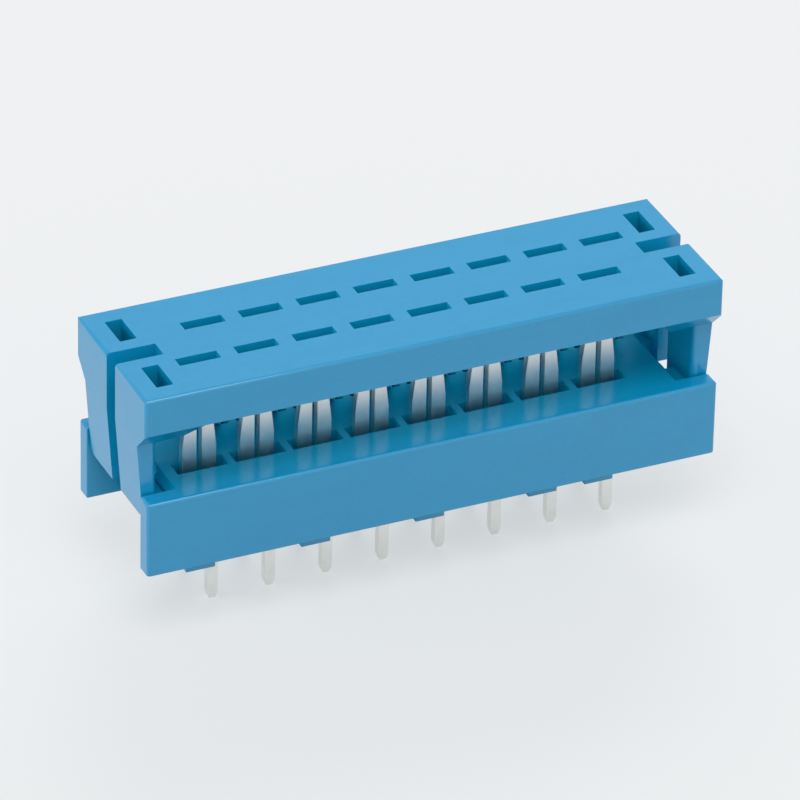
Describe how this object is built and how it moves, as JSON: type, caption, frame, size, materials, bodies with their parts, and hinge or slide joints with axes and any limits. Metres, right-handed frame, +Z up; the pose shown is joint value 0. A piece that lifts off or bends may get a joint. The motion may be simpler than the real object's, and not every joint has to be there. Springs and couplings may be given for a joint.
{
  "type": "insulation displacement connector",
  "caption": "Board-mount insulation displacement connector for flat ribbon cable: a blue base with rows of forked contacts and solder tails, and a raised press-down cover.",
  "frame": {"origin": "centre of the solder tail grid on the top face of the board, where the feet of the base stand", "axes": "+X along the contact rows, +Y along the cable towards the rear, +Z up from the board"},
  "size_m": [0.0256, 0.0074, 0.0115],
  "materials": {
    "blue_moulding": "blue moulded polyester, semi-gloss",
    "tin_plate": "bright tin plate on stamped copper alloy strip"
  },
  "bodies": {
    "base": {"base_housing": "blue_moulding", "contact_01": "tin_plate", "contact_02": "tin_plate", "contact_03": "tin_plate", "contact_04": "tin_plate", "contact_05": "tin_plate", "contact_06": "tin_plate", "contact_07": "tin_plate", "contact_08": "tin_plate", "contact_09": "tin_plate", "contact_10": "tin_plate", "contact_11": "tin_plate", "contact_12": "tin_plate", "contact_13": "tin_plate", "contact_14": "tin_plate", "contact_15": "tin_plate", "contact_16": "tin_plate"},
    "cover": {"cover": "blue_moulding"}
  },
  "joints": [
    {"name": "cover_press", "type": "slide", "parent": "base", "child": "cover", "axis": [0, 0, -1], "range_m": [0, 0.0023]}
  ]
}
